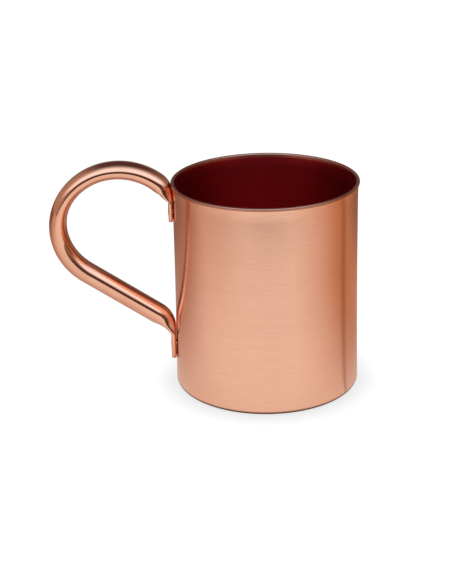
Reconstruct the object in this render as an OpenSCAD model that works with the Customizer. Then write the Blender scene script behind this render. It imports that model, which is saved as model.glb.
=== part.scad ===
// Copper mug: a one-piece cup and a bent tube handle, joined by two rivets.
// Millimetres. The origin is the centre of the base, +Z is up, and the handle points along -X.

/* [Cup] */
// Height of the cup, from the table to the top of the lip
cup_height = 95; // [94:0.5:98]
// Diameter over the lip
lip_d = 83; // [82.6:0.1:84]
// Diameter just above the base corner
base_d = 82.8; // [81.6:0.1:83.5]
// Diameter of the straight stretch between the base taper and the lip flare
waist_d = 81.5; // [80:0.1:82]
// Diameter under the lip bead
neck_d = 82.3; // [82:0.1:82.4]
// Thickness of the wall and the floor
wall = 1.2; // [0.8:0.1:1.3]
// Thickness of the rounded lip
lip_t = 1.5; // [1.4:0.1:1.8]
// Outer radius of the corner between base and wall
corner_r = 2.5; // [1.5:0.1:4]
// Height at which the base taper has died out
taper_top = 62; // [40:1:75]
// Height at which the wall starts to flare towards the lip
flare_z = 88; // [86:0.5:89]

/* [Handle] */
// Outer diameter of the round tube
tube_od = 9.5; // [9:0.1:10]
// Wall thickness of the tube
tube_wall = 0.9; // [0.7:0.1:1]
// Depth of the tube, in the plane of the handle, at the top of the arm
arm_depth = 8.2; // [7.5:0.1:9]
// Depth of the tube where bending has flattened it most
loop_depth = 7.4; // [6.8:0.1:8.5]
// Height of the upper tab's lower end
tab_high_z = 77.5; // [77:0.1:78]
// Height at which the upper tab bends away from the wall
bend_high_z = 90; // [89:0.5:91]
// Height of the lower tab's lower end
tab_low_z = 12.2; // [10:0.1:13]
// Radius of the upper bend, on the side of the wall
bend_high_r = 10; // [8:0.5:12]
// Turn of the upper bend, in degrees
bend_high_turn = 52.5; // [50:0.5:55]
// Outside radius of the top of the loop
loop_top_r = 32; // [31:0.5:33]
// Turn of the top of the loop, in degrees
loop_top_turn = 97; // [95:0.5:99]
// Outside radius of the far side of the loop
loop_side_r = 29.5; // [28.5:0.5:30.5]
// Turn of the far side of the loop, in degrees
loop_side_turn = 87; // [85:0.5:89]
// Radius of the lower bend, on the side of the wall
bend_low_r = 12.5; // [10:0.5:13]
// Width of each tab
tab_w = 12.2; // [11:0.1:14]
// Thickness of the lower tab, which is pressed a little less flat than the upper one
tab_low_t = 2.1; // [2:0.1:2.4]
// Flat length of the upper tab
flat_high = 9.4; // [9:0.1:10]
// Length over which the upper tab opens into the tube
press_high = 16; // [13:0.5:18]
// Flat length of the lower tab
flat_low = 12; // [11:0.1:13]
// Length over which the lower tab opens into the tube
press_low = 18; // [15:0.5:20]
// Corner radius at the end of each tab
tab_corner_r = 2; // [1:0.5:4]

/* [Rivets] */
// Height of the upper rivet
rivet_high_z = 81.3; // [81:0.1:81.6]
// Height of the lower rivet
rivet_low_z = 17.8; // [17:0.1:18.5]
// Diameter of the rivet's shank
shank_d = 3.2; // [2.5:0.1:4]
// Diameter of the hammered head on the tab
peen_d = 4.8; // [4.4:0.1:5.4]
// Height of the hammered head
peen_h = 0.35; // [0.25:0.05:0.8]
// Diameter of the low head inside the cup
head_d = 6.4; // [5.6:0.1:8]
// Height of the low head inside the cup
head_h = 0.9; // [0.6:0.1:1.4]

/* [Hidden] */
copper_satin = [0.85, 0.60, 0.48];
copper_bright = [0.80, 0.50, 0.38];
cup_fn = 144;
rivet_fn = 48;
// Radial clearance of each rivet in its holes, and the gap of the tabs and the rivet heads to the wall
hole_clearance = 0.05;
tab_gap = 0.03;
// Steps along the cup's outline
corner_steps = 6;
taper_steps = 8;
flare_steps = 4;
lip_steps = 10;
// Sides of the tube's outer and inner surfaces
tube_sides = 28;
bore_sides = 16;
// Rings along each tab, small bend, large arc and half of the straight
tab_rings = 16;
bend_rings = 14;
arc_rings = 18;
straight_rings = 2;
// Half width of the bore where it starts, between the two pressed walls of the tube
bore_start = 0.2;
// How softly a pressed end starts to open, how early each end is almost open, and how soon flats form
open_start = 1.2;
open_high = 7;
open_low = 4.3;
flat_onset = 2;
// Distance from each tab's end at which the tube starts to narrow, and over which it narrows
narrow_high = 5;
narrow_low = 7;
narrow_run = 20;
// How sharply the base taper sets in towards the bottom
taper_power = 1.5;
// Steps of a rivet's domed head, and the share of its height that is a straight edge
dome_steps = 6;
dome_edge = 0.3;

function rad(a) = a * PI / 180;
function ease(t) = let (u = min(max(t, 0), 1)) u * u * (3 - 2 * u);
function mix(a, b, t) = a + (b - a) * ease(t);

// ---- Cup ----

lip_r = lip_t / 2;
lip_centre = [lip_d / 2 - lip_r, cup_height - lip_r];
// Angle on the lip bead at which the outer wall runs into it
lip_start = -65;

// Outer radius of the wall at height z
function wall_r(z) =
    z < taper_top
        ? waist_d / 2 + (base_d - waist_d) / 2 * pow(1 - z / taper_top, taper_power)
        : waist_d / 2 + (neck_d - waist_d) / 2 * pow(max(z - flare_z, 0) / (cup_height - flare_z), 2);

// Points from the base corner up the wall, with the surface set in by depth
function wall_line(depth, z_from, z_to) = concat(
    [for (i = [0:taper_steps]) let (z = z_from + (taper_top - z_from) * i / taper_steps)
        [wall_r(z) - depth, z]],
    [for (i = [0:flare_steps]) let (z = flare_z + (z_to - flare_z) * i / flare_steps)
        [wall_r(z) - depth, z]]
);

// A quarter turn for a corner of radius r, rising from its lowest point to the wall at radius x
function corner_line(x, z, r) =
    [for (i = [0:corner_steps - 1]) let (a = -90 + 90 * i / corner_steps)
        [x - r + r * cos(a), z + r + r * sin(a)]];

function cup_outline() = let (
    wall_top = lip_centre.y - lip_r,
    inner_r = corner_r - wall / 2
) concat(
    [[0, 0]],
    corner_line(wall_r(corner_r), 0, corner_r),
    wall_line(0, corner_r, wall_top),
    [for (i = [0:lip_steps]) let (a = lip_start + (180 - lip_start) * i / lip_steps)
        lip_centre + lip_r * [cos(a), sin(a)]],
    reverse(wall_line(wall, wall + inner_r, wall_top)),
    reverse(corner_line(wall_r(wall + inner_r) - wall, wall, inner_r)),
    [[0, wall]]
);

function reverse(v) = [for (i = [len(v) - 1:-1:0]) v[i]];

module cup_body() {
    color(copper_satin)
    difference() {
        rotate_extrude($fn = cup_fn) polygon(cup_outline());
        rivet_hole(rivet_high_z);
        rivet_hole(rivet_low_z);
    }
}

// ---- Handle ----

tab_high_t = 2 * tube_wall;
// The wall is widest at these heights behind the tabs, so each tab comes closest to it there
seat_high = wall_r(bend_high_z) + tab_gap;
seat_low = wall_r(tab_low_z) + tab_gap;

// A point on the path is [x, z, heading, distance]. The heading is in degrees from +X towards +Z.
// A leg of the path is [length, turn, rings].
function along(p, length, turn) = let (h = p[2], r = turn == 0 ? 0 : length / rad(turn))
    turn == 0
        ? [p[0] + length * cos(h), p[1] + length * sin(h), h, p[3] + length]
        : [p[0] + r * (sin(h + turn) - sin(h)), p[1] - r * (cos(h + turn) - cos(h)), h + turn, p[3] + length];

function arc(r, turn, n) = [r * rad(abs(turn)), turn, n];
function path_end(p, legs, i = 0) = i == len(legs)
    ? p
    : path_end(along(p, legs[i][0], legs[i][1]), legs, i + 1);
function path(p, legs, i = 0) = i == len(legs) ? [] : let (l = legs[i]) concat(
    [for (j = [1:l[2]]) along(p, l[0] * j / l[2], l[1] * j / l[2])],
    path(along(p, l[0], l[1]), legs, i + 1)
);

// The path first follows the outer line of the handle, which lies on the wall at the upper tab
up_start = [-seat_high, tab_high_z, 90, 0];
up_tab = [bend_high_z - tab_high_z, 0, tab_rings];
up_bend = arc(bend_high_r, bend_high_turn, bend_rings);
loop_top = arc(loop_top_r, loop_top_turn, arc_rings);
loop_side = arc(loop_side_r, loop_side_turn, arc_rings);
arm_s = up_tab[0] + up_bend[0];
loop_mid_s = arm_s + loop_top[0];
loop_end_s = loop_mid_s + loop_side[0];
loop_end = path_end(up_start, [up_tab, up_bend, loop_top, loop_side]);

// On the straight it changes to the inner line, one tube across, which lies on the wall at the lower tab
slope = loop_end[2];
low_bend = arc(bend_low_r, 270 - slope, bend_rings);
low_bend_x = bend_low_r * (1 + sin(slope));
straight = (-seat_low - low_bend_x - loop_end[0] + tube_od * sin(slope)) / cos(slope);
half_straight = [straight / 2, 0, straight_rings];
swap = path_end(loop_end, [half_straight]);
inner_start = [swap[0] - tube_od * sin(slope), swap[1] + tube_od * cos(slope), slope, swap[3]];
low_bend_end = path_end(inner_start, [half_straight, low_bend]);
low_tab = [low_bend_end[1] - tab_low_z, 0, tab_rings];
path_length = low_bend_end[3] + low_tab[0];

outer_path = concat([up_start], path(up_start, [up_tab, up_bend, loop_top, loop_side, half_straight]));
inner_path = path(inner_start, [half_straight, low_bend, low_tab]);

// Share of the tube's opening over a pressed length, which ends smoothly at the round tube
function spread(t, early) = let (u = min(max(t, 0), 1)) 1 - pow(1 - pow(u, open_start), early);
// How far the tube is open at distance s: 0 in the flat tabs, 1 in the round tube
function open(s) = min(
    spread((s - flat_high) / press_high, open_high),
    spread((path_length - flat_low - s) / press_low, open_low)
);
// Depth of the tube before pressing: bending flattens it, most where the two arcs of the loop meet
function depth(s) = s < loop_mid_s
    ? mix(arm_depth, loop_depth, (s - arm_s) / (loop_mid_s - arm_s))
    : mix(loop_depth, tube_od, (s - loop_mid_s) / (loop_end_s - loop_mid_s));
function half_depth(s) = let (t = s < loop_mid_s ? tab_high_t : tab_low_t)
    t / 2 + (depth(s) - t) / 2 * open(s);
// Half width, which changes slowly between a tab and the tube
function half_width(s) = mix(
    tab_w / 2,
    tube_od - depth(s) / 2,
    min(s - narrow_high, path_length - s - narrow_low) / narrow_run
);
// What the rounded corners at a tab's end take off the half width
function end_cut(s) = let (d = min(s, path_length - s, tab_corner_r))
    tab_corner_r - sqrt(pow(tab_corner_r, 2) - pow(tab_corner_r - d, 2));

// One ring of the surface set in by inset. A pressed section has two flats with round folds between
// them, and an open one is an oval.
function ring(p, side, inset, sides) = let (
    s = p[3],
    o = pow(open(s), flat_onset),
    a = half_depth(s) - inset,
    b = tube_od - depth(s) / 2 - inset,
    half_flat = half_width(s) - half_depth(s) - end_cut(s),
    normal = [-sin(p[2]), cos(p[2])],
    centre = [p[0], p[1]] + side * half_depth(s) * normal
) [for (i = [0:sides - 1]) let (
    t = 360 * (i + 0.5) / sides,
    fold = (sin(t) > 0 ? 1 : -1) * half_flat + a * sin(t),
    q = centre + a * cos(t) * normal
) [q[0], o * b * sin(t) + (1 - o) * fold, q[1]]];

// The bore leaves out the tabs, where the two tube walls touch
function rings(inset, sides) = concat(
    [for (p = outer_path) if (half_depth(p[3]) > inset + bore_start) ring(p, 1, inset, sides)],
    [for (p = inner_path) if (half_depth(p[3]) > inset + bore_start) ring(p, -1, inset, sides)]
);

// A closed skin over a list of rings with the same number of points
module skin(loops) {
    n = len(loops[0]);
    last = (len(loops) - 1) * n;
    polyhedron(
        points = [for (l = loops) each l],
        faces = concat(
            [[for (i = [n - 1:-1:0]) i]],
            [for (k = [0:n:last - n]) for (i = [0:n - 1]) let (j = (i + 1) % n) each
                [[k + i, k + j, k + n + j], [k + i, k + n + j, k + n + i]]],
            [[for (i = [0:n - 1]) last + i]]
        )
    );
}

module handle() {
    color(copper_bright)
    difference() {
        skin(rings(0, tube_sides));
        skin(rings(tube_wall, bore_sides));
        rivet_hole(rivet_high_z);
        rivet_hole(rivet_low_z);
    }
}

// ---- Rivets ----

// A round hole through the wall and the tab on the handle's side
module rivet_hole(z) {
    translate([0, 0, z]) rotate([0, -90, 0])
        cylinder(h = lip_d, d = shank_d + 2 * hole_clearance, $fn = rivet_fn);
}

// A rivet from its seat inside the cup to the outer face of a tab of thickness t that rests at radius seat
module rivet(z, seat, t) {
    // The flat underside of the head touches the round wall at its two sides, at its upper edge
    inner_r = wall_r(z + head_d / 2) - wall - tab_gap;
    base_x = sqrt(pow(inner_r, 2) - pow(head_d / 2, 2));
    grip = seat + t - base_x;
    // A low dome is a quarter of an ellipse on a short straight edge
    dome = [for (i = [0:dome_steps]) let (a = 90 * i / dome_steps)
        [cos(a), dome_edge + (1 - dome_edge) * sin(a)]];
    head = [for (p = dome) [head_d / 2 * p.x, -head_h * p.y]];
    peen = [for (p = dome) [peen_d / 2 * p.x, grip + peen_h * p.y]];
    outline = concat(
        reverse(head),
        [[head_d / 2, 0], [shank_d / 2, 0], [shank_d / 2, grip], [peen_d / 2, grip]],
        peen
    );
    color(copper_bright)
    translate([-base_x, 0, z]) rotate([0, -90, 0])
        rotate_extrude($fn = rivet_fn) polygon(outline);
}

module upper_rivet() {
    rivet(rivet_high_z, seat_high, tab_high_t);
}

module lower_rivet() {
    rivet(rivet_low_z, seat_low, tab_low_t);
}

cup_body();
handle();
upper_rivet();
lower_rivet();
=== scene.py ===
import math

import bmesh
import bpy
from mathutils import Matrix, Vector


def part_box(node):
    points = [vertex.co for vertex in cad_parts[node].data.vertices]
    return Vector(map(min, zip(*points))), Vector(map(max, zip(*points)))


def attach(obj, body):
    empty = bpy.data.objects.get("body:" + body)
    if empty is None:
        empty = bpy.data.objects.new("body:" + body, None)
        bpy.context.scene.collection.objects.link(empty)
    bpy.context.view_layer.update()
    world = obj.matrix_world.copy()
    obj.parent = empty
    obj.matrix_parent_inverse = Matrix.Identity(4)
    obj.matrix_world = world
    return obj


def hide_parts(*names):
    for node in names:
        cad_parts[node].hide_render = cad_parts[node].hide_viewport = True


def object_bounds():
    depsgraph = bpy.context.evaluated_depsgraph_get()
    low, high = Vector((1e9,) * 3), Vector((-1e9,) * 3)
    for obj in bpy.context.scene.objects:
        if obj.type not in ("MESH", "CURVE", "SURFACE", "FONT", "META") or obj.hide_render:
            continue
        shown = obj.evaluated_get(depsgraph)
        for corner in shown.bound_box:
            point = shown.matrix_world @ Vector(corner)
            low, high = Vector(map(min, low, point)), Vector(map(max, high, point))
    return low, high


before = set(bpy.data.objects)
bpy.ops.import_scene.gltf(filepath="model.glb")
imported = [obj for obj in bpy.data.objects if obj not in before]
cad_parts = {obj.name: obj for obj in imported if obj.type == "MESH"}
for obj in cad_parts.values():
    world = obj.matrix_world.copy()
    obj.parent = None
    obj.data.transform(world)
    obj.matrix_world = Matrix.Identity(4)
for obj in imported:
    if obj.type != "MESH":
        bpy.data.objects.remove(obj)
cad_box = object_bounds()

# All lengths in this file are in millimetres until MM turns them into the frame's metres.
MM = 0.001
scene = bpy.context.scene


# ---------------------------------------------------------------- sizes, as in the CAD model

CUP_HEIGHT, LIP_D, BASE_D, WAIST_D, NECK_D = 95.0, 83.0, 82.8, 81.5, 82.3
WALL, LIP_T, CORNER_R = 1.2, 1.5, 2.5
TAPER_TOP, FLARE_Z = 62.0, 88.0
LIP_START = math.radians(-65)

TUBE_OD, TUBE_WALL, ARM_DEPTH, LOOP_DEPTH = 9.5, 0.9, 8.2, 7.4
TAB_HIGH_Z, BEND_HIGH_Z, TAB_LOW_Z = 77.5, 90.0, 12.2
BEND_HIGH_R, LOOP_TOP_R, LOOP_SIDE_R, BEND_LOW_R = 10.0, 32.0, 29.5, 12.5
BEND_HIGH_TURN, LOOP_TOP_TURN, LOOP_SIDE_TURN = 52.5, 97, 87
FLAT_HIGH, PRESS_HIGH, FLAT_LOW, PRESS_LOW, TAB_CORNER_R = 9.4, 16.0, 12.0, 18.0, 2.0
OPEN_START, OPEN_HIGH, OPEN_LOW = 1.2, 7, 4.3
NARROW_HIGH, NARROW_LOW, NARROW_RUN = 5, 7, 20
SLIT, SLIT_DEPTH, TAB_BEVEL = 0.16, 0.8, 0.15
TAB_W, TAB_HIGH_T, TAB_LOW_T = 12.2, 2 * TUBE_WALL, 2.1
TAB_GAP = 0.03

RIVET_Z = {"upper_rivet": 81.3, "lower_rivet": 17.8}
SHANK_D, PEEN_D, PEEN_H, HEAD_D, HEAD_H = 3.2, 4.8, 0.35, 6.4, 0.9
HOLE_CLEARANCE = 0.05


def wall_r(z):
    """Outer radius of the cup at height z."""
    if z < TAPER_TOP:
        return WAIST_D / 2 + (BASE_D - WAIST_D) / 2 * (1 - z / TAPER_TOP) ** 1.5
    return WAIST_D / 2 + (NECK_D - WAIST_D) / 2 * (max(z - FLARE_Z, 0) / (CUP_HEIGHT - FLARE_Z)) ** 2


def ease(t):
    t = min(max(t, 0.0), 1.0)
    return t * t * (3 - 2 * t)


def mix(a, b, t):
    return a + (b - a) * ease(t)


def steps(a, b, n):
    """n + 1 even values from a to b."""
    return [a + (b - a) * i / n for i in range(n + 1)]


# ---------------------------------------------------------------- mesh tools


def to_object(name, bm, materials, sharp=35):
    bmesh.ops.recalc_face_normals(bm, faces=bm.faces)
    mesh = bpy.data.meshes.new(name)
    bm.to_mesh(mesh)
    bm.free()
    for m in materials:
        mesh.materials.append(m)
    mesh.polygons.foreach_set("use_smooth", [True] * len(mesh.polygons))
    mesh.set_sharp_from_angle(angle=math.radians(sharp))
    piece = bpy.data.objects.new(name, mesh)
    scene.collection.objects.link(piece)
    return piece


def lathe(bm, profile, turns, place=lambda r, a, z: (r * math.cos(a), r * math.sin(a), z)):
    """Turns a line of (r, z, material) points round an axis. The line starts and ends on the axis."""
    rows = []
    for r, z, _ in profile:
        angles = [2 * math.pi * i / turns for i in range(turns)] if r > 1e-6 else [0.0]
        rows.append([bm.verts.new(Vector(place(r, a, z)) * MM) for a in angles])
    for (a, b), (_, _, slot) in zip(zip(rows, rows[1:]), profile):
        for i in range(turns):
            j = (i + 1) % turns
            corners = [a[i % len(a)], a[j % len(a)], b[j % len(b)], b[i % len(b)]]
            face = bm.faces.new(list(dict.fromkeys(corners)))
            face.material_index = slot


def skin(bm, loops):
    """A closed skin over rings with the same number of points. The ends are closed by faces."""
    rows = [[bm.verts.new(Vector(p) * MM) for p in ring] for ring in loops]
    n = len(rows[0])
    for a, b in zip(rows, rows[1:]):
        for i in range(n):
            j = (i + 1) % n
            bm.faces.new((a[i], a[j], b[j], b[i]))
    for ring in (rows[0], rows[-1]):
        bm.faces.new(ring)


def drill(piece, heights):
    """Cuts the round rivet holes on the handle's side."""
    for z in heights:
        bm = bmesh.new()
        turn = Matrix.Translation(Vector((-42, 0, z)) * MM) @ Matrix.Rotation(math.pi / 2, 4, "Y")
        bmesh.ops.create_cone(
            bm, cap_ends=True, segments=48, radius1=(SHANK_D / 2 + HOLE_CLEARANCE) * MM,
            radius2=(SHANK_D / 2 + HOLE_CLEARANCE) * MM, depth=12 * MM, matrix=turn,
        )
        cutter = to_object("cutter", bm, [])
        cut = piece.modifiers.new("hole", "BOOLEAN")
        cut.operation, cut.solver, cut.object = "DIFFERENCE", "EXACT", cutter
        done = bpy.data.meshes.new_from_object(piece.evaluated_get(bpy.context.evaluated_depsgraph_get()))
        piece.modifiers.clear()
        piece.data = done
        bpy.data.objects.remove(cutter)
    piece.data.set_sharp_from_angle(angle=math.radians(35))


def fits(piece, node):
    """Stops the script if a piece has left the box of the CAD node that it stands for."""
    lo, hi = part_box(node)
    corners = [piece.matrix_world @ Vector(c) for c in piece.bound_box]
    for k in range(3):
        values = [c[k] for c in corners]
        off = max(abs(min(values) - lo[k]), abs(max(values) - hi[k]))
        if off > 0.4 * MM:
            raise ValueError(f"{piece.name} is {off / MM:.2f} mm off {node} along axis {k}")


def stand_for(piece, node):
    fits(piece, node)
    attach(piece, "root")
    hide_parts(node)


# ---------------------------------------------------------------- materials


class Nodes:
    """A short way to write a node tree."""

    def __init__(self, tree):
        self.tree = tree
        tree.nodes.clear()

    def add(self, kind, **inputs):
        node = self.tree.nodes.new(kind)
        for key, value in inputs.items():
            if key[0].islower():
                setattr(node, key, value)
        for key, value in inputs.items():
            if not key[0].islower():
                self.put(node.inputs[key.replace("_", " ")], value)
        return node

    def put(self, socket, value):
        if isinstance(value, bpy.types.Node):
            value = value.outputs[0]
        if isinstance(value, bpy.types.NodeSocket):
            self.tree.links.new(value, socket)
        else:
            socket.default_value = value

    def math(self, operation, *values):
        node = self.tree.nodes.new("ShaderNodeMath")
        node.operation = operation
        for socket, value in zip(node.inputs, values):
            self.put(socket, value)
        return node.outputs[0]

    def ramp(self, value, low, high, to_low=0.0, to_high=1.0, smooth=True):
        node = self.tree.nodes.new("ShaderNodeMapRange")
        node.interpolation_type = "SMOOTHSTEP" if smooth else "LINEAR"
        for socket, v in zip(node.inputs, (value, low, high, to_low, to_high)):
            self.put(socket, v)
        return node.outputs[0]

    def blend(self, factor, a, b):
        node = self.tree.nodes.new("ShaderNodeMix")
        node.data_type = "RGBA"
        self.put(node.inputs["Factor"], factor)
        self.put(node.inputs[6], a)
        self.put(node.inputs[7], b)
        return node.outputs[2]

    def split(self, vector):
        node = self.add("ShaderNodeSeparateXYZ")
        self.put(node.inputs[0], vector)
        return node.outputs

    def join(self, x, y, z):
        node = self.add("ShaderNodeCombineXYZ")
        for socket, v in zip(node.inputs, (x, y, z)):
            self.put(socket, v)
        return node.outputs[0]

    def noise(self, x, y, z, across, up, detail, roughness=0.5):
        """Noise with one scale across x and y and another along z, both per metre."""
        scaled = [self.math("MULTIPLY", v, k) for v, k in ((x, across), (y, across), (z, up))]
        node = self.add(
            "ShaderNodeTexNoise", Vector=self.join(*scaled), Scale=1.0, Detail=detail, Roughness=roughness,
        )
        return node.outputs[0]

    def from_axis(self, x, y):
        """Distance from the z axis."""
        squares = self.math("ADD", self.math("MULTIPLY", x, x), self.math("MULTIPLY", y, y))
        return self.math("POWER", squares, 0.5)


def material(name):
    m = bpy.data.materials.new(name)
    m.use_nodes = True
    return m, Nodes(m.node_tree)


def brushed(name, light, dark, rough, spread, depth, pitch, bands, contrast):
    """Copper brushed round the cup's axis. pitch is hairs per metre and bands the share of wider rings."""
    m, n = material(name)
    at = n.add("ShaderNodeTexCoord").outputs["Object"]
    x, y, z = n.split(at)
    climb = n.math("ADD", z, n.from_axis(x, y))
    # Hairs: long round the cup and thin across
    hairs = n.noise(x, y, climb, 180, pitch, 4, 0.65)
    # Wider rings left by the spinning tool
    rings = n.noise(x, y, climb, 12, 420, 3)
    # Soft clouds of handling and polish
    clouds = n.noise(x, y, climb, 38, 46, 3)
    soft = n.math("ADD", n.math("MULTIPLY", rings, bands), n.math("MULTIPLY", clouds, 0.25))
    tone = n.math("ADD", n.math("MULTIPLY", hairs, 0.75 - bands), soft)
    colour = n.blend(n.ramp(tone, 0.5 - contrast, 0.5 + contrast), dark, light)
    roughness = n.ramp(tone, 0.3, 0.7, rough + spread, rough - spread, smooth=False)
    height = n.math("ADD", hairs, n.math("MULTIPLY", rings, 2 * bands))
    bump = n.add("ShaderNodeBump", Strength=1.0, Distance=depth * MM, Height=height)
    shader = n.add(
        "ShaderNodeBsdfPrincipled", Base_Color=colour, Metallic=1.0, Roughness=roughness,
        Anisotropic=0.68, Anisotropic_Rotation=0.25, Normal=bump,
    )
    n.put(shader.inputs["Tangent"], n.add("ShaderNodeTangent", direction_type="RADIAL", axis="Z"))
    n.add("ShaderNodeOutputMaterial", Surface=shader)
    return m


def polished(name, light, dark, rough, spread, depth, scale=1.0):
    """Smooth polished copper with faint waves, clouds and fine wear."""
    m, n = material(name)
    at = n.add("ShaderNodeTexCoord").outputs["Object"]
    x, y, z = n.split(at)
    clouds = n.noise(x, y, z, 70 * scale, 70 * scale, 3)
    fine = n.noise(x, y, z, 1400 * scale, 1400 * scale, 2)
    tone = n.math("ADD", n.math("MULTIPLY", clouds, 0.7), n.math("MULTIPLY", fine, 0.3))
    colour = n.blend(n.ramp(tone, 0.35, 0.65), dark, light)
    roughness = n.ramp(tone, 0.3, 0.7, rough + spread, rough - spread, smooth=False)
    height = n.math("ADD", clouds, n.math("MULTIPLY", fine, 0.12))
    bump = n.add("ShaderNodeBump", Strength=1.0, Distance=depth * MM, Height=height)
    shader = n.add(
        "ShaderNodeBsdfPrincipled", Base_Color=colour, Metallic=1.0, Roughness=roughness, Normal=bump,
    )
    n.add("ShaderNodeOutputMaterial", Surface=shader)
    return m


satin = brushed(
    "copper_satin", (0.89, 0.49, 0.335, 1), (0.85, 0.455, 0.305, 1), 0.215, 0.02, 0.0015, 3200, 0.12, 0.14,
)
# Painted shade: the inside of the cup is the same copper, given a darker, deep red base colour that stands in
# for the shade and repeated reflections inside the cup.
inside = brushed(
    "copper_inside_painted_shade", (0.81, 0.105, 0.11, 1), (0.63, 0.062, 0.066, 1), 0.22, 0.05, 0.007, 1500, 0.34, 0.050,
)
# Painted shade: the lip is the same copper, given a darker base colour that dims its highlight.
lip = polished("copper_lip_painted_shade", (0.50, 0.23, 0.17, 1), (0.45, 0.20, 0.14, 1), 0.26, 0.03, 0.004)
bright = polished("copper_polished", (0.87, 0.46, 0.31, 1), (0.80, 0.41, 0.27, 1), 0.11, 0.03, 0.010)
hammered = polished("copper_hammered", (0.84, 0.46, 0.32, 1), (0.70, 0.34, 0.22, 1), 0.22, 0.05, 0.012, 3.0)


# ---------------------------------------------------------------- cup

OUT, IN, BEAD = 0, 1, 2
CUP_TURNS = 320


def cup_profile():
    """The cup's outline from the middle of its base, round the lip, to the middle of its floor."""
    lip_r = LIP_T / 2
    lip_x, lip_z = LIP_D / 2 - lip_r, CUP_HEIGHT - lip_r
    inner_r = CORNER_R - WALL / 2
    top = lip_z - lip_r
    foot_x, floor_x = wall_r(CORNER_R), wall_r(WALL + inner_r) - WALL

    def wall(depth, low):
        heights = steps(low, TAPER_TOP, 44) + steps(TAPER_TOP, FLARE_Z, 18)[1:] + steps(FLARE_Z, top, 16)[1:]
        return [(wall_r(z) - depth, z) for z in heights]

    def corner(x, z, r, n):
        return [(x - r + r * math.cos(a), z + r + r * math.sin(a)) for a in steps(-math.pi / 2, 0, n)[:-1]]

    out = [(r, 0.0) for r in steps(0, foot_x - CORNER_R, 14)[:-1]]
    out += corner(foot_x, 0, CORNER_R, 12) + wall(0, CORNER_R)
    bead = [(lip_x + lip_r * math.cos(a), lip_z + lip_r * math.sin(a)) for a in steps(LIP_START, math.pi, 28)]
    back = wall(WALL, WALL + inner_r)[::-1] + corner(floor_x, WALL, inner_r, 12)[::-1]
    back += [(r, WALL) for r in steps(floor_x - inner_r, 0, 16)[1:]]
    return [(r, z, OUT) for r, z in out] + [(r, z, BEAD) for r, z in bead] + [(r, z, IN) for r, z in back]


bm = bmesh.new()
lathe(bm, cup_profile(), CUP_TURNS)
cup = to_object("mug_cup", bm, [satin, inside, lip])
drill(cup, RIVET_Z.values())
stand_for(cup, "cup_body")


# ---------------------------------------------------------------- handle

SEAT_HIGH = wall_r(BEND_HIGH_Z) + TAB_GAP
SEAT_LOW = wall_r(TAB_LOW_Z) + TAB_GAP
RING_GAP = 0.4
TUBE_SIDES = 80


def along(p, length, turn):
    """The path point a length further on, straight or turning. A point is (x, z, heading, distance)."""
    x, z, h, s = p
    if turn == 0:
        return (x + length * math.cos(h), z + length * math.sin(h), h, s + length)
    r = length / turn
    x += r * (math.sin(h + turn) - math.sin(h))
    z -= r * (math.cos(h + turn) - math.cos(h))
    return (x, z, h + turn, s + length)


def arc(r, degrees):
    return (r * abs(math.radians(degrees)), math.radians(degrees))


def walk(p, legs):
    """Path points about RING_GAP apart over all the legs, without the first point."""
    points = []
    for length, turn in legs:
        n = max(2, round(length / RING_GAP))
        points += [along(p, length * i / n, turn * i / n) for i in range(1, n + 1)]
        p = along(p, length, turn)
    return points


up_start = (-SEAT_HIGH, TAB_HIGH_Z, math.pi / 2, 0.0)
up_legs = [(BEND_HIGH_Z - TAB_HIGH_Z, 0.0), arc(BEND_HIGH_R, BEND_HIGH_TURN)]
up_legs += [arc(LOOP_TOP_R, LOOP_TOP_TURN), arc(LOOP_SIDE_R, LOOP_SIDE_TURN)]
up_tab_s = up_legs[0][0]
arm_s = up_tab_s + up_legs[1][0]
loop_mid_s = arm_s + up_legs[2][0]
loop_end_s = loop_mid_s + up_legs[3][0]
loop_end = walk(up_start, up_legs)[-1]
slope = loop_end[2]
low_x = -SEAT_LOW - BEND_LOW_R * (1 + math.sin(slope))
straight = (low_x - loop_end[0] + TUBE_OD * math.sin(slope)) / math.cos(slope)
half = (straight / 2, 0.0)
outer_path = [up_start] + walk(up_start, up_legs + [half])
swap = outer_path[-1]
inner_start = (swap[0] - TUBE_OD * math.sin(slope), swap[1] + TUBE_OD * math.cos(slope), slope, swap[3])
low_bend = arc(BEND_LOW_R, 270 - math.degrees(slope))
low_bend_end = walk(inner_start, [half, low_bend])[-1]
inner_path = walk(inner_start, [half, low_bend, (low_bend_end[1] - TAB_LOW_Z, 0.0)])
path_length = inner_path[-1][3]


def spread(t, early):
    """Share of the tube's opening over a pressed length, which ends smoothly at the round tube."""
    t = min(max(t, 0.0), 1.0)
    return 1 - (1 - t**OPEN_START) ** early


def opened(s):
    """How far the tube is open: 0 in the flat tabs, 1 in the round tube."""
    high = spread((s - FLAT_HIGH) / PRESS_HIGH, OPEN_HIGH)
    low = spread((path_length - FLAT_LOW - s) / PRESS_LOW, OPEN_LOW)
    return min(high, low)


def depth_at(s):
    if s < loop_mid_s:
        return mix(ARM_DEPTH, LOOP_DEPTH, (s - arm_s) / (loop_mid_s - arm_s))
    return mix(LOOP_DEPTH, TUBE_OD, (s - loop_mid_s) / (loop_end_s - loop_mid_s))


def half_depth(s):
    tab = TAB_HIGH_T if s < loop_mid_s else TAB_LOW_T
    return tab / 2 + (depth_at(s) - tab) / 2 * opened(s)


def half_width(s):
    """The width changes slowly between a tab and the tube."""
    from_tab = min(s - NARROW_HIGH, path_length - s - NARROW_LOW)
    return mix(TAB_W / 2, TUBE_OD - depth_at(s) / 2, from_tab / NARROW_RUN)


def end_cut(s):
    """What the rounded corners at a tab's end take off its half width."""
    d = min(s, path_length - s, TAB_CORNER_R)
    return TAB_CORNER_R - math.sqrt(TAB_CORNER_R**2 - (TAB_CORNER_R - d) ** 2)


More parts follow.
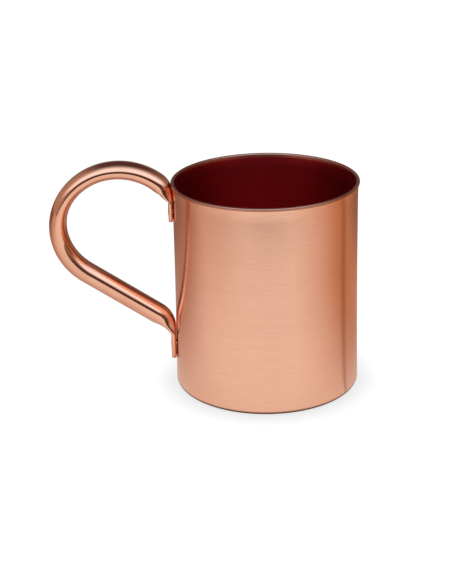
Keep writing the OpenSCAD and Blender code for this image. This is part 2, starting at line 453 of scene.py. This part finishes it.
def ring(p, side, inset, sides):
    x, z, h, s = p
    o = opened(s) ** 2
    a = half_depth(s) - inset
    b = TUBE_OD - depth_at(s) / 2 - inset
    half_flat = half_width(s) - half_depth(s) - end_cut(s)
    normal = (-math.sin(h), math.cos(h))
    centre = (x + side * half_depth(s) * normal[0], z + side * half_depth(s) * normal[1])
    points = []
    for i in range(sides):
        t = 2 * math.pi * (i + 0.5) / sides
        fold = math.copysign(half_flat, math.sin(t)) + a * math.sin(t)
        points.append((
            centre[0] + a * math.cos(t) * normal[0],
            o * b * math.sin(t) + (1 - o) * fold,
            centre[1] + a * math.cos(t) * normal[1],
        ))
    return points


def tab_end(p, side, way):
    """The slit between a tab's two pressed walls, then a bevel. way is 1 at the path's start, else -1."""
    slit = half_depth(p[3]) - SLIT / 2
    deep, edge = along(p, SLIT_DEPTH * way, 0), along(p, TAB_BEVEL * way, 0)
    return [
        ring(deep, side, slit, TUBE_SIDES), ring(p, side, slit, TUBE_SIDES),
        ring(p, side, TAB_BEVEL, TUBE_SIDES), ring(edge, side, 0, TUBE_SIDES),
    ]


def rings():
    loops = tab_end(outer_path[0], 1, 1)
    loops += [ring(p, 1, 0, TUBE_SIDES) for p in outer_path[1:]]
    loops += [ring(p, -1, 0, TUBE_SIDES) for p in inner_path[:-1]]
    return loops + tab_end(inner_path[-1], -1, -1)[::-1]


bm = bmesh.new()
skin(bm, rings())
handle = to_object("mug_handle", bm, [bright])
drill(handle, RIVET_Z.values())
stand_for(handle, "handle")


# ---------------------------------------------------------------- rivets


def rivet(name, z, seat, tab, phase):
    """A rivet with a low domed head inside the cup and a hammered, slightly uneven end on the tab."""
    inner_r = wall_r(z + HEAD_D / 2) - WALL - TAB_GAP
    base_x = math.sqrt(inner_r**2 - (HEAD_D / 2) ** 2)
    grip = seat + tab - base_x

    def dome(d, h, n):
        return [(d / 2 * math.cos(a), h * (0.3 + 0.7 * math.sin(a))) for a in steps(0, math.pi / 2, n)]

    def struck(r, a, h):
        up, over = r * math.cos(a), r * math.sin(a)
        if h > grip:
            share = r / (PEEN_D / 2)
            grow = 1 + 0.05 * share * math.cos(2 * a + phase) + 0.02 * share * math.cos(3 * a - phase)
            flat = 0.10 * math.cos(2.0 * up + phase) + 0.08 * math.cos(1.7 * over - phase)
            h = grip + (h - grip) * (0.9 + flat)
            up, over = up * grow, over * grow
        return (-base_x - h, over, z + up)

    head = [(r, -h, 0) for r, h in dome(HEAD_D, HEAD_H, 10)]
    peen = [(r, grip + h, 0) for r, h in dome(PEEN_D, PEEN_H, 24)]
    shank = [(HEAD_D / 2, 0, 0), (SHANK_D / 2, 0, 0), (SHANK_D / 2, grip, 0), (PEEN_D / 2, grip, 0)]
    bm = bmesh.new()
    lathe(bm, head[::-1] + shank + peen, 72, struck)
    return to_object(name, bm, [hammered])


rivets = (("upper_rivet", SEAT_HIGH, TAB_HIGH_T, 0.6), ("lower_rivet", SEAT_LOW, TAB_LOW_T, 2.1))
for node, seat, tab, phase in rivets:
    stand_for(rivet("mug_" + node, RIVET_Z[node], seat, tab, phase), node)


# ---------------------------------------------------------------- stage

FLOOR_REACH = 4.0
FLOOR_FRONT = -0.45

bm = bmesh.new()
bmesh.ops.create_grid(bm, x_segments=8, y_segments=8, size=1.0)
for v in bm.verts:
    depth = FLOOR_FRONT + (v.co.y + 1) / 2 * (FLOOR_REACH - FLOOR_FRONT)
    v.co = Vector((v.co.x * FLOOR_REACH, depth, cad_box[0].z))
m, n = material("floor_white_painted_reflections")
x, y, _ = n.split(n.add("ShaderNodeTexCoord").outputs["Object"])
# Painted reflections: for glossy rays the floor glows with a painted pattern that the metal mirrors, white in
# front, darker and warmer beside and behind the mug
painted_reflection = n.blend(n.ramp(y, -0.16, -0.32), (0.97, 0.97, 0.97, 1), (1.12, 1.12, 1.12, 1))
painted_reflection = n.blend(n.ramp(y, -0.08, 0.07), painted_reflection, (0.50, 0.33, 0.27, 1))
painted_reflection = n.blend(n.ramp(x, -0.06, -0.32, 0, 0.65), painted_reflection, (0.48, 0.27, 0.19, 1))
radius = n.from_axis(x, y)
# Painted reflection: the pattern glows warmer to the right
turn = n.ramp(n.math("DEGREES", n.math("ARCTAN2", y, x)), -62, 2, smooth=False)
painted_warm_mask = n.math("MULTIPLY", turn, n.ramp(radius, 0, 0.17, smooth=False))
painted_warm_mask = n.math("MULTIPLY", painted_warm_mask, n.ramp(x, -0.06, 0.10))
painted_reflection = n.blend(painted_warm_mask, painted_reflection, (0.60, 0.33, 0.19, 1))
# Painted reflection: a dark line running out to the right, which the wall mirrors
bearing = n.math("DEGREES", n.math("ARCTAN2", n.math("ADD", y, 0.0223), n.math("SUBTRACT", x, 0.0344)))
off_line = n.math("ABSOLUTE", n.math("SUBTRACT", bearing, 21))
painted_reflection = n.blend(n.ramp(off_line, 1, 8, 0.6, 0), painted_reflection, (0.14, 0.06, 0.03, 1))
# Painted shade in the mirrored pattern: darker far behind and at the dark front edge
painted_reflection = n.blend(n.ramp(y, 0.07, 0.22, 0, 0.7), painted_reflection, (0.16, 0.09, 0.07, 1))
edge = n.math("MULTIPLY", n.ramp(y, -0.31, -0.36), n.ramp(n.math("ABSOLUTE", x), 1.1, 0.2))
painted_reflection = n.blend(edge, painted_reflection, (0.06, 0.04, 0.033, 1))
# Painted contact shadow under the mug, which the metal mirrors
painted_reflection = n.blend(n.ramp(radius, 0.0435, 0.0410), painted_reflection, (0.12, 0.09, 0.075, 1))
# What the camera sees: a white floor, with a painted contact shadow right beside the mug, drawn from an
# ambient-occlusion node
painted_contact_shade = n.add("ShaderNodeAmbientOcclusion", samples=8, Distance=0.016).outputs["AO"]
painted_contact_shade = n.ramp(painted_contact_shade, 0.45, 1.0, smooth=False)
white = n.blend(painted_contact_shade, (0.81, 0.80, 0.81, 1), (1.06, 1.06, 1.06, 1))
rays = n.add("ShaderNodeLightPath")
shader = n.tree.nodes.new("ShaderNodeMixShader")
n.put(shader.inputs[0], rays.outputs["Is Diffuse Ray"])
seen = n.blend(rays.outputs["Is Glossy Ray"], white, painted_reflection)
n.put(shader.inputs[1], n.add("ShaderNodeEmission", Color=seen, Strength=1.0))
n.put(shader.inputs[2], n.add("ShaderNodeBsdfDiffuse", Color=(0.9, 0.9, 0.9, 1)))
n.add("ShaderNodeOutputMaterial", Surface=shader)
m.cycles.emission_sampling = "NONE"
floor = to_object("floor", bm, [m])

world = bpy.data.worlds.new("studio")
scene.world = world
world.use_nodes = True
n = Nodes(world.node_tree)
x, y, z = n.split(n.add("ShaderNodeTexCoord").outputs["Generated"])
lit = n.math("MULTIPLY", n.ramp(z, 0.20, 0.44), n.math("POWER", n.ramp(y, 0.45, -0.60), 1.5))
room = n.blend(n.ramp(z, 0.55, 0.25), (0.10, 0.055, 0.05, 1), (0.22, 0.20, 0.20, 1))
room = n.blend(n.ramp(y, 0.1, -0.2), room, (0.09, 0.05, 0.04, 1))
room = n.blend(n.ramp(x, -0.25, -0.75), room, (0.50, 0.36, 0.30, 1))
room = n.blend(n.ramp(x, 0.30, 0.80), room, (0.34, 0.21, 0.16, 1))
studio = n.blend(lit, room, (1.27, 1.55, 1.85, 1))
camera_ray = n.add("ShaderNodeLightPath").outputs["Is Camera Ray"]
sky = n.blend(camera_ray, studio, (1.3, 1.3, 1.3, 1))
n.add("ShaderNodeOutputWorld", Surface=n.add("ShaderNodeBackground", Color=sky, Strength=1.0))

lamp = bpy.data.lights.new("overhead", "AREA")
lamp.shape, lamp.size, lamp.energy = "DISK", 2.0, 22.0
overhead = bpy.data.objects.new("overhead", lamp)
overhead.location = (0, 0, 1.3)
overhead.visible_glossy = False
overhead.visible_camera = False
scene.collection.objects.link(overhead)

camera = bpy.data.cameras.new("camera")
camera.lens, camera.sensor_width = 91.2, 36
camera.clip_start, camera.clip_end = 0.01, 20
eye = bpy.data.objects.new("camera", camera)
eye.matrix_world = (
    Matrix.Translation((-0.01812, -0.62028, 0.28840))
    @ Matrix.Rotation(math.radians(90 - 21.649), 4, "X")
    @ Matrix.Rotation(math.radians(-1.236), 4, "Z")
)
scene.collection.objects.link(eye)
scene.camera = eye

scene.view_settings.view_transform = "Standard"
scene.cycles.glossy_bounces = 10
